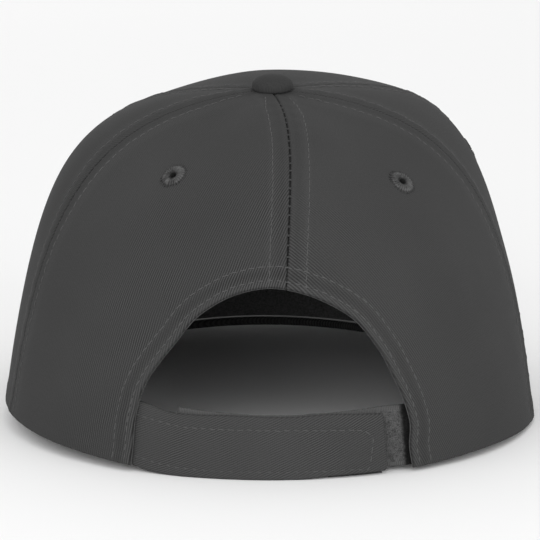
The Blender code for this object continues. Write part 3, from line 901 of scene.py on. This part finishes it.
def plain_panel(name, first, last, lean, rib, columns):
    left = seam_plane(first, 1)
    right = seam_plane(last, -1)
    top_start, start = (from_plane(left[-k], SEAMS[first][k])[0] for k in (0, 1))
    top_end, end = (from_plane(right[-k], SEAMS[last][k])[0] for k in (0, 1))
    top = to_plane(np.linspace(top_start, top_end, 30), np.full(30, TOP_ALONG))
    middle = (start + end) / 2
    lines = (top, rim_plane(start, end), left, right)
    panel(name, lines, (first, last), middle, lean, rib, columns, False)


def back_panel(name, side_seam, sign, lean, rib):
    """Back panel, between side seam and opening across, and back seam and rim down."""
    side = seam_plane(side_seam, -sign)
    angles = ARCH_ANGLES[::sign]
    alongs = ARCH_ALONGS[::sign]
    beyond = beside_seam("back", alongs, sign * gap_at("back", alongs))
    keep = sign * (angles - beyond) > 0
    arch = to_plane(angles[keep], alongs[keep])[::-1]
    seam = seam_plane("back", sign, float(alongs[keep][-1]))
    seam[-1] = arch[0]
    side[0] = seam[0] = (side[0] + seam[0]) / 2
    rim = rim_plane(from_plane(side[-1], sign * 76.0)[0], angles[0])
    rim[0] = side[-1]
    rim[-1] = arch[-1]
    lines = (seam, rim, side, arch)
    panel(name, lines, ("back", side_seam), sign * 38.0, lean, rib, 90, True)


plain_panel("cloth_front_panel", "front_left", "front_right", 40.0, 0.8, 120)
plain_panel("cloth_side_panel_left", "left", "front_left", 25.0, 0.8, 70)
plain_panel("cloth_side_panel_right", "front_right", "right", -25.0, 0.8, 70)
back_panel("cloth_back_panel_left", "left", 1, 3.5, 0.87)
back_panel("cloth_back_panel_right", "right", -1, -24.0, 0.72)


# Topstitching on the crown

# The two seams of the panel on either side of each seam
SIDES_OF = {
    "back": (("back", "left"), ("back", "right")),
    "left": (("left", "front_left"), ("back", "left")),
    "front_left": (("front_left", "front_right"), ("left", "front_left")),
    "front_right": (("front_right", "right"), ("front_left", "front_right")),
    "right": (("right", "back"), ("front_right", "right")),
}
ROWS_START, ROWS_END = 0.064, 0.995
topstitch = Stitching()


def stitch_crown(angle, along, seams):
    """One row of topstitching on the crown."""
    base = crown_point(angle, along)
    normal = crown_normal(angle, along)
    line = base + normal * relief(base, seams, "back" in seams)[:, None]
    topstitch.row(line, normal)


for seam, (over, under) in SIDES_OF.items():
    lowest = BACK_SEAM_LOWEST if seam == "back" else ROWS_END
    for sign, seams, offset in ((1, over, TOPSTITCH[seam][0]), (-1, under, TOPSTITCH[seam][1])):
        along = np.linspace(ROWS_START, lowest, 300)
        distance = sign * offset * MM * smooth_step(along, -0.1, 0.16)
        stitch_crown(beside_seam(seam, along, distance), along, seams)
arch_normal = crown_normal(ARCH_ANGLES, ARCH_ALONGS)
outward = unit(np.cross(np.gradient(ARCH_LINE, axis=0), arch_normal))
outward *= np.sign(outward[len(outward) // 2, 2])
for row in ARCH_ROWS:
    moved = ARCH_LINE + outward * row * MM
    angle = np.degrees(np.arctan2(moved[:, 0], moved[:, 1]))
    along = along_at_height(angle, moved[:, 2])
    keep = along < ROWS_END
    stitch_crown(angle[keep], along[keep], ("back",))
topstitch.make("crown_topstitching", THREAD)

BAR_STEP = 3.65 * MM
BAR_RADIUS, BAR_DEPTH = 0.19 * MM, 0.30 * MM
BACKING_STEP, BACKING_LENGTH, BACKING_RADIUS = 1.0 * MM, 1.7 * MM, 0.45 * MM
# Seam, highest and lowest place of its bars, and their length in mm
BARRED = (("back", 0.09, BACK_SEAM_LOWEST, 1.3), ("left", 0.36, 0.8, 0.9))
bars = Stitching()
backing = Stitching()
for seam, highest, lowest, width in BARRED:
    along = np.linspace(highest, lowest - 0.004, 500)
    middle = seam_angle(seam, along)
    run = path_length(crown_point(middle, along))
    draw = np.random.default_rng(5)
    for distance in np.arange(2.0 * MM, run[-1], BAR_STEP):
        distance = distance + draw.uniform(-0.35, 0.35) * MM
        for shift in (-0.14, 0.14):
            here = np.full(3, np.interp(distance + shift * MM, run, along))
            slant = draw.uniform(-0.25, 0.25) * MM
            angle = beside_seam(seam, here, np.array([-0.5, 0.0, 0.5]) * width * MM)
            normal = crown_normal(angle, here)
            line = crown_point(angle, here) + np.outer((-1, 0, 1), (0, 0, slant))
            bars.row(line - normal * BAR_DEPTH, normal, width * MM, width * MM, BAR_RADIUS)
    # Near-black backing threads under the seam: painted shade in the seam's gap
    under = skin(middle, along, WALL - 0.15 * MM)
    normal = crown_normal(middle, along)
    backing.row(under, normal, BACKING_STEP, BACKING_LENGTH, BACKING_RADIUS)
bars.make("seam_bar_threads", BAR_THREAD)
backing.make("seam_backing_threads", DARK_THREAD_PAINTED_SHADE)


# Bands, strap and tapes


def band(name, angle, height, depth, thickness, look, slot, node, reach, uv, bumps=None):
    """Sheet inside the crown by angles, heights and depths, with rounded edges."""
    depth = np.broadcast_to(depth, angle.shape)
    mid = skin(angle, along_at_height(angle, height, depth), depth)
    cut = border_gap(mid, [mid[0], mid[-1], mid[:, 0], mid[:, -1]])
    pinch = rounded(cut, thickness, reach)
    rise = 0.0 if bumps is None else bumps(mid, cut)
    layers = [
        skin(angle, along_at_height(angle, height, level), level)
        for level in (depth + pinch - rise, depth + thickness - pinch - 0.5 * rise)
    ]
    closed_sheet(name, *layers, [look], slot, [node], uv)


def arc(angle):
    """Millimetres round the back of the head, towards the right of the picture."""
    return -np.radians(angle) * BACK_REACH / MM


SWEATBAND_LEFT_END, SWEATBAND_RIGHT_END = 31.5, 333.0
SWEATBAND_WIDTH, SWEATBAND_THICKNESS, SWEATBAND_FOOT = 28.0 * MM, 1.1 * MM, 1.0 * MM
SWEATBAND_LIFT = 2.2 * MM  # off the panel near the opening, where the strap is in between
angle = np.linspace(SWEATBAND_LEFT_END, SWEATBAND_RIGHT_END, 260)
from_back = np.minimum(angle, FULL_TURN - angle)
lift = SWEATBAND_LIFT * smooth_step(from_back, 58.0, 43.0)
climb = edge_shares(SWEATBAND_WIDTH, (0.0, 0.06, 0.2, 0.5), 14)
height = rim_height(angle)[:, None] + SWEATBAND_FOOT + climb * SWEATBAND_WIDTH
depth = (WALL + PIECE_GAP + lift)[:, None]
angle = np.broadcast_to(angle[:, None], height.shape)
uv = np.stack([arc(angle), height / MM], axis=-1)
place = (angle, height, depth, SWEATBAND_THICKNESS)
band("cloth_sweatband", *place, BAND, "sweatband_cloth", "sweatband", 0.5 * MM, uv)

STRAP_TAIL, STRAP_END, STRAP_CORNER = 40.0, -21.0, 1.2 * MM
STRAP_WIDTH, STRAP_THICKNESS = 20.0 * MM, 1.6 * MM
# Angle, and height of the lower and the upper edge as shares of the width
STRAP_EDGES = np.array(
    (
        (-21.0, 0.050, 0.950),
        (-15.0, 0.045, 0.980),
        (-9.0, 0.035, 1.005),
        (-4.0, 0.000, 0.985),
        (12.0, 0.000, 0.995),
        (20.0, 0.000, 0.975),
        (24.0, 0.010, 0.995),
        (28.0, 0.045, 1.065),
        (32.0, 0.115, 1.110),
        (40.0, 0.165, 1.150),
    )
)
strap_depth = WALL + PIECE_GAP
corner_angle = np.degrees(STRAP_CORNER / BACK_REACH)
body = np.linspace(STRAP_TAIL, STRAP_END + corner_angle, 130)
turn = np.linspace(0, np.pi / 2, 12)[1:]
strap_angle = np.concatenate([body, STRAP_END + corner_angle * (1 - np.sin(turn))])
inset = np.concatenate([np.zeros(len(body)), STRAP_CORNER * (1 - np.cos(turn))])
knots, foot, top = STRAP_EDGES.T
low = np.maximum(through(knots, foot, strap_angle) * STRAP_WIDTH, 0.0) + inset
high = through(knots, top, strap_angle) * STRAP_WIDTH - inset
climb = edge_shares(0.021, (0.0, 0.05, 0.2, 0.45, 0.8), 26)
strap_height = low[:, None] * (1 - climb) + high[:, None] * climb
strap_grid = np.broadcast_to(strap_angle[:, None], strap_height.shape)
# The row of stitches round the strap: place on it, angle, and height in mm
STRAP_ROW = np.array(
    (
        (0.0, 36.0, 6.8),
        (1.0, 30.5, 5.0),
        (2.0, 26.0, 3.8),
        (3.0, 18.0, 2.6),
        (4.0, 0.0, 2.6),
        (5.0, -13.7, 2.4),
        (5.6, -16.9, 2.3),
        (6.0, -17.6, 5.5),
        (6.5, -18.0, 9.0),
        (7.0, -18.1, 12.2),
        (7.3, -17.1, 13.6),
        (8.0, -13.2, 14.8),
        (9.0, 0.0, 15.5),
        (10.0, 12.0, 15.6),
        (11.0, 19.0, 15.5),
        (12.0, 24.0, 16.3),
        (13.0, 29.0, 17.5),
        (14.0, 36.0, 19.2),
    )
)


places, angles, heights = STRAP_ROW.T
row_place = np.linspace(0.0, places[-1], 420)
row_angle = through(places, angles, row_place)
row_height = through(places, heights, row_place) * MM
ROW_LINE = skin(row_angle, along_at_height(row_angle, row_height, strap_depth), strap_depth)


def strap_bumps(points, cut):
    """How far the strap stands out, at distances from its edge."""
    gap, place = near(points, ROW_LINE)
    hem = 0.14 * (1 - smooth_step(cut / MM, 3.5, 5.5))
    uneven = ripples(points, (0.16, 0.03, 9), (0.08, 0.012, 10))
    return (hem - 0.22 * sunk_row(gap, place, 0.0) + uneven) * MM


uv = turned_uv(arc(strap_grid), strap_height / MM, 67.0, 0.70)
place = (strap_grid, strap_height, strap_depth, STRAP_THICKNESS)
band("cloth_strap", *place, TWILL_STRAP_PAINTED_LIGHT, "twill", "strap", 0.55 * MM, uv, strap_bumps)
strap_stitch = Stitching()
rise = strap_bumps(ROW_LINE, np.full(len(ROW_LINE), 5.0 * MM))
row_normal = crown_normal(row_angle, along_at_height(row_angle, row_height))
strap_stitch.row(ROW_LINE + row_normal * rise[:, None], row_normal)
strap_stitch.make("strap_topstitching", THREAD)

HOOK_START, HOOK_END, HOOK_WIDTH, HOOK_THICKNESS = -9.0, -20.4, 17.5 * MM, 0.8 * MM
hook_depth = strap_depth + STRAP_THICKNESS + PIECE_GAP
hook_angle = np.linspace(HOOK_START, HOOK_END, 30)
climb = edge_shares(HOOK_WIDTH, (0.0, 0.1, 0.3), 12)
angle, height = np.meshgrid(hook_angle, climb * HOOK_WIDTH, indexing="ij")
uv = np.stack([arc(angle), height / MM], axis=-1)
place = (angle, height, hook_depth, HOOK_THICKNESS)
band("hook_tape_patch", *place, HOOK, "hook_tape", "hook_patch", 0.3 * MM, uv)

LOOP_START, LOOP_END, LOOP_WIDTH, LOOP_THICKNESS = 22.0, -38.0, 19.3 * MM, 1.2 * MM
loop_depth = hook_depth + HOOK_THICKNESS + PIECE_GAP
loop_angle = np.linspace(LOOP_START, LOOP_END, 210)
climb = edge_shares(LOOP_WIDTH, (0.0, 0.1, 0.35), 30)
angle, climb = np.meshgrid(loop_angle, climb, indexing="ij")
height = rim_height(angle) + 0.4 * MM + climb * LOOP_WIDTH
# The tab comes out to the panel behind the strap's end, and to the strap before the patch
depth = loop_depth + (strap_depth - loop_depth) * smooth_step(angle, -21.0, -29.0)
depth = depth + (hook_depth - loop_depth) * smooth_step(angle, -7.0, -1.0)
uv = np.stack([arc(angle), climb * LOOP_WIDTH / MM], axis=-1)


def loop_bumps(points, cut):
    """Uneven pile."""
    return ripples(points, (0.16, 0.0016, 21)) * MM


place = (angle, height, depth, LOOP_THICKNESS)
band("loop_tape_tab", *place, LOOP, "loop_tape", "loop_tab", 0.5 * MM, uv, loop_bumps)


# Peak

share = np.sin(np.linspace(-1, 1, 181) * np.pi / 2)
share = np.sign(share) * np.abs(share) ** 0.96
peak_angle = FULL_TURN / 2 - share * (FULL_TURN / 2 - PEAK_START_ANGLE)
root = skin(peak_angle, 1.0, PEAK_TUCK)
root[:, 2] = skin(peak_angle, 1.0, WALL)[:, 2] - PIECE_GAP
corner_y = crown_point(PEAK_START_ANGLE, 1.0)[1]
power = 2 / PEAK_SQUARENESS
turn = share * np.pi / 2
edge_x = PEAK_HALF_WIDTH * np.sign(turn) * np.abs(np.sin(turn)) ** power
edge_y = corner_y - (FRONT_REACH + PEAK_REACH + corner_y) * np.abs(np.cos(turn)) ** power
edge_height = PEAK_THICKNESS + PEAK_TIP_HEIGHT * through(*PEAK_EDGE.T, np.abs(share))
blend = smooth_step(np.abs(share), PEAK_BLEND_START, 1.0)
edge_height = np.maximum(edge_height * (1 - blend) + root[:, 2] * blend, PEAK_THICKNESS)
PEAK_LINE = np.stack([edge_x, edge_y, edge_height], axis=-1)
across = 1 - edge_shares(0.066, (0.0, 0.15, 0.5, 1.0, 1.6, 2.4), 52)[::-1, None]
PEAK_TOP = root[:, None] * (1 - across) + PEAK_LINE[:, None] * across
PEAK_ROWS = (2.2, 8.2, 14.2, 20.2, 26.2, 32.2, 38.2, 44.2)
PEAK_ROW_SINK = 0.22
PEAK_WAVER = (0.12, 0.05, 31)
edge_gap = nearest(PEAK_TOP, PEAK_LINE)[0]
cut = border_gap(PEAK_TOP, [PEAK_TOP[0], PEAK_TOP[-1], PEAK_TOP[:, 0], PEAK_LINE])
pinch = rounded(cut, PEAK_THICKNESS, 1.3 * MM)
sunk = PEAK_ROW_SINK * sum(hill(edge_gap / MM, row, 0.6) for row in PEAK_ROWS)
rise = (ripples(PEAK_TOP, PEAK_WAVER) - sunk) * MM * smooth_step(cut / MM, 0.0, 1.5)
up = np.array([0.0, 0.0, 1.0])
peak_outer = PEAK_TOP + up * (np.minimum(rise, 0.0) - pinch)[..., None]
peak_inner = PEAK_TOP - up * (PEAK_THICKNESS - pinch + np.minimum(rise, 0.0))[..., None]
uv = turned_uv(PEAK_TOP[..., 0] / MM, PEAK_TOP[..., 1] / MM, 55.0, 0.8)
closed_sheet("cloth_peak", peak_outer, peak_inner, [TWILL], "twill", ["peak"], uv)
peak_stitch = Stitching()
for row in PEAK_ROWS:
    for surface, sign in ((peak_outer, 1.0), (peak_inner, -1.0)):
        line = []
        for gaps, edge, points in zip(edge_gap, cut, surface):
            if gaps.max() > (row + 0.5) * MM and edge.max() > 1.0 * MM:
                order = np.argsort(gaps)
                line.append(sample(row * MM, gaps[order], points[order]))
        normals = np.tile(up * sign, (len(line), 1))
        peak_stitch.row(np.array(line), normals, start=0.4 * MM)
peak_stitch.make("peak_topstitching", THREAD)


# Button and eyelets


def turn_profile(profile, sides, place, ripple=None):
    """Points and faces of a round form from (radius, height) pairs, closed at its ends."""
    turns = np.linspace(0, 2 * np.pi, sides, endpoint=False)
    radius, height = (column[:, None] * np.ones(sides) for column in profile.T)
    if ripple is not None:
        height = height + ripple(radius, turns[None])
    points = np.stack([radius * np.cos(turns), radius * np.sin(turns), height], axis=-1)
    rotation = np.array(place.to_3x3())
    points = points.reshape(-1, 3) @ rotation.T + np.array(place.translation)
    index = np.arange(radius.size).reshape(radius.shape)
    following = np.roll(index, -1, axis=1)
    corners = (index[1:], following[1:], following[:-1], index[:-1])
    return points, np.stack(corners, axis=-1).reshape(-1, 4)


def stand(centre, axis):
    """Matrix that stands a piece on a point, its height along an axis."""
    axis = unit(axis)
    helper = (0.0, 0.0, 1.0) if abs(axis[2]) < 0.7 else (0.0, 1.0, 0.0)
    sideways = unit(np.cross(axis, helper))
    forwards = np.cross(axis, sideways)
    columns = np.stack([sideways, forwards, axis, centre], axis=-1)
    return Matrix([*columns.tolist(), [0, 0, 0, 1]])


BUTTON_RADIUS, BUTTON_RISE, BUTTON_EDGE = 7.0 * MM, 4.9 * MM, 0.9 * MM
BUTTON_SHIFT = np.array([-1.0 * MM, 0.0, 0.0])
BUTTON_SQUARENESS = 0.85
BUTTON_SIDES = 96
# Edge, underside and shank: radius, and height over the cloth, in mm
BUTTON_UNDER = (
    (6.93, 0.45),
    (6.65, 0.1),
    (6.16, -0.1),
    (2.6, -0.1),
    (2.6, -3.4),
    (4.8, -3.5),
    (4.8, -4.5),
    (0.01, -4.6),
)
BUTTON_WEAR = (0.0, 0.75)
angles = np.arange(0, FULL_TURN, 10.0)


def along_at_radius(angle, radius):
    """Place near the button at a distance from the upright line through the middle."""
    angle, radius = np.broadcast_arrays(angle, radius)
    return search(lambda along: -plan_radius(angle, along), -radius, 0.0, 0.5)


apex = np.array([0.0, 0.0, CROWN_HEIGHT])
axis = unit(crown_normal(angles, along_at_radius(angles, BUTTON_RADIUS)).mean(axis=0))
base = max(
    ((crown_point(angles, along_at_radius(angles, radius)) - apex) @ axis).max()
    for radius in (3.4 * MM, BUTTON_RADIUS)
)
lean = np.linspace(0.001, np.pi / 2, 26)
radius = BUTTON_RADIUS * np.sin(lean) ** BUTTON_SQUARENESS
height = (BUTTON_RISE - BUTTON_EDGE) * np.maximum(np.cos(lean), 0.0) ** BUTTON_SQUARENESS
dome = np.stack([radius, BUTTON_EDGE + height], axis=-1)
profile = np.concatenate([dome, np.array(BUTTON_UNDER) * MM]) + (0.0, base)
points, faces = turn_profile(profile, BUTTON_SIDES, stand(apex + BUTTON_SHIFT, axis))
turns = np.linspace(0, 2 * np.pi, BUTTON_SIDES, endpoint=False)
radius = profile[:, :1] / MM
uv = turned_uv((radius * np.cos(turns)).ravel(), (radius * np.sin(turns)).ravel(), 40.0, 0.75)
uv = np.concatenate([uv, np.full(uv.shape, BUTTON_WEAR)], axis=-1)
add_piece("cloth_top_button", points, faces, [TWILL_BUTTON_PAINTED_SHADE], ["top_button"], uv)

EYELET_HOLE, EYELET_BAND = 1.2, 3.15
EYELET_CREST = {"back": 0.55, "side": 0.20}
EYELET_THREADS = 26


def eyelet(panel_name, angle, height):
    """Ring of satin stitches round a small hole, on both faces of the cloth."""
    along = float(along_at_height(np.array(angle), np.array(height)))
    share = np.linspace(0, 1, 15)
    radius = (EYELET_HOLE + EYELET_BAND * share) * MM
    swell = np.sin(np.pi * np.clip(0.15 + 0.85 * share, 0, 1)) ** 0.6
    swell *= EYELET_CREST[panel_name[:4]] * MM
    skirt = [(4.5 * MM, 0.0), (5.0 * MM, -0.10 * MM), (5.05 * MM, -0.35 * MM)]
    top = [(r, 0.05 * MM + h) for r, h in zip(radius, swell)] + skirt
    under = [(r, -WALL - h) for r, h in top[::-1]]
    inside = [(1.1 * MM, -WALL), (1.05 * MM, -WALL / 2), (1.1 * MM, -0.1 * MM)]

    def ripple(radius, turns):
        uneven = np.sin(turns * 3 + angle) + 0.6 * np.sin(turns * 7 + 1.0)
        wave = np.cos(turns * EYELET_THREADS + 0.9 * np.sin(turns * 5))
        return (0.16 * wave + 0.08 * uneven) * MM * smooth_step(radius / MM, 1.1, 1.9)

    profile = np.array(top + under + inside + top[:1])
    sides = EYELET_THREADS * 10
    place = stand(crown_point(angle, along), crown_normal(angle, along))
    points, faces = turn_profile(profile, sides, place, ripple)
    reach = (profile[:, :1] - radius[0]) / (radius[-1] - radius[0])
    uv = np.stack(np.broadcast_arrays(np.arange(sides) / 10, reach), axis=-1)
    node = panel_name.replace("panel", "eyelet")
    looks = [EYELET_THREAD, DARK_THREAD_PAINTED_SHADE]
    made = add_piece("stitched_" + node, points, faces, looks, [node], uv)
    # The hole's inner wall gets the near-black thread: painted shade down the hole
    hole_shade = np.zeros((len(profile) - 1, sides), int)
    hole_shade[len(top) + len(under) - 1 :] = 1
    made.data.polygons.foreach_set("material_index", hole_shade.ravel())


for panel_name, (angle, height) in EYELETS.items():
    eyelet(panel_name, angle, height)


# Camera, lights and floor

CAMERA_DISTANCE, CAMERA_YAW, CAMERA_RISE = 1.3, 2.5, 11.0
SENSOR_WIDTH = 36.0
PIXELS_PER_METRE = 2941.0
PICTURE = 540.0
TARGET_PIXEL = (269.5, 268.4)
yaw, rise = np.radians(CAMERA_YAW), np.radians(CAMERA_RISE)
level = np.cos(rise)
back = Vector((np.sin(yaw) * level, np.cos(yaw) * level, np.sin(rise)))
target = Vector((0.0, SHIFT[1], 0.05))
camera_data = bpy.data.cameras.new("camera")
camera_data.sensor_width = SENSOR_WIDTH
camera_data.lens = PIXELS_PER_METRE * CAMERA_DISTANCE / PICTURE * SENSOR_WIDTH
camera_data.shift_x = (PICTURE / 2 - TARGET_PIXEL[0]) / PICTURE
camera_data.shift_y = (TARGET_PIXEL[1] - PICTURE / 2) / PICTURE
camera_data.clip_end = 100.0
camera = show("camera", camera_data)
camera.location = target + back * CAMERA_DISTANCE
camera.rotation_euler = back.to_track_quat("Z", "Y").to_euler()
bpy.context.scene.camera = camera


def area_light(name, place, size, power):
    """Soft square light that looks at the cap."""
    data = bpy.data.lights.new(name, "AREA")
    data.shape = "SQUARE"
    data.size = size
    data.energy = power
    made = show(name, data)
    made.location = target + Vector(place)
    made.rotation_euler = Vector(place).to_track_quat("Z", "Y").to_euler()


area_light("key", (0.6, 2.0, 0.7), 1.2, 18.0)
area_light("fill", (-1.1, 1.9, 0.5), 1.4, 14.0)
area_light("front", (0.3, -2.0, 0.7), 1.4, 3.0)

WORLD_STRENGTH = 0.95
world = bpy.data.worlds.new("studio")
world.use_nodes = True
world.node_tree.nodes["Background"].inputs[0].default_value = grey(1.0)
world.node_tree.nodes["Background"].inputs[1].default_value = WORLD_STRENGTH
bpy.context.scene.world = world

FLOOR_HALF, FLOOR_GREY = 12.0, 0.86
floor_mesh = bpy.data.meshes.new("floor")
corners = [(x * FLOOR_HALF, y * FLOOR_HALF, 0.0) for x, y in ((-1, -1), (1, -1), (1, 1), (-1, 1))]
floor_mesh.from_pydata(corners, [], [(0, 1, 2, 3)])
floor_mesh.materials.append(Graph("floor_paper").finish(grey(FLOOR_GREY), 0.9, 0.0))
show("floor", floor_mesh)
bpy.context.scene.view_settings.view_transform = "Standard"

bpy.context.view_layer.update()
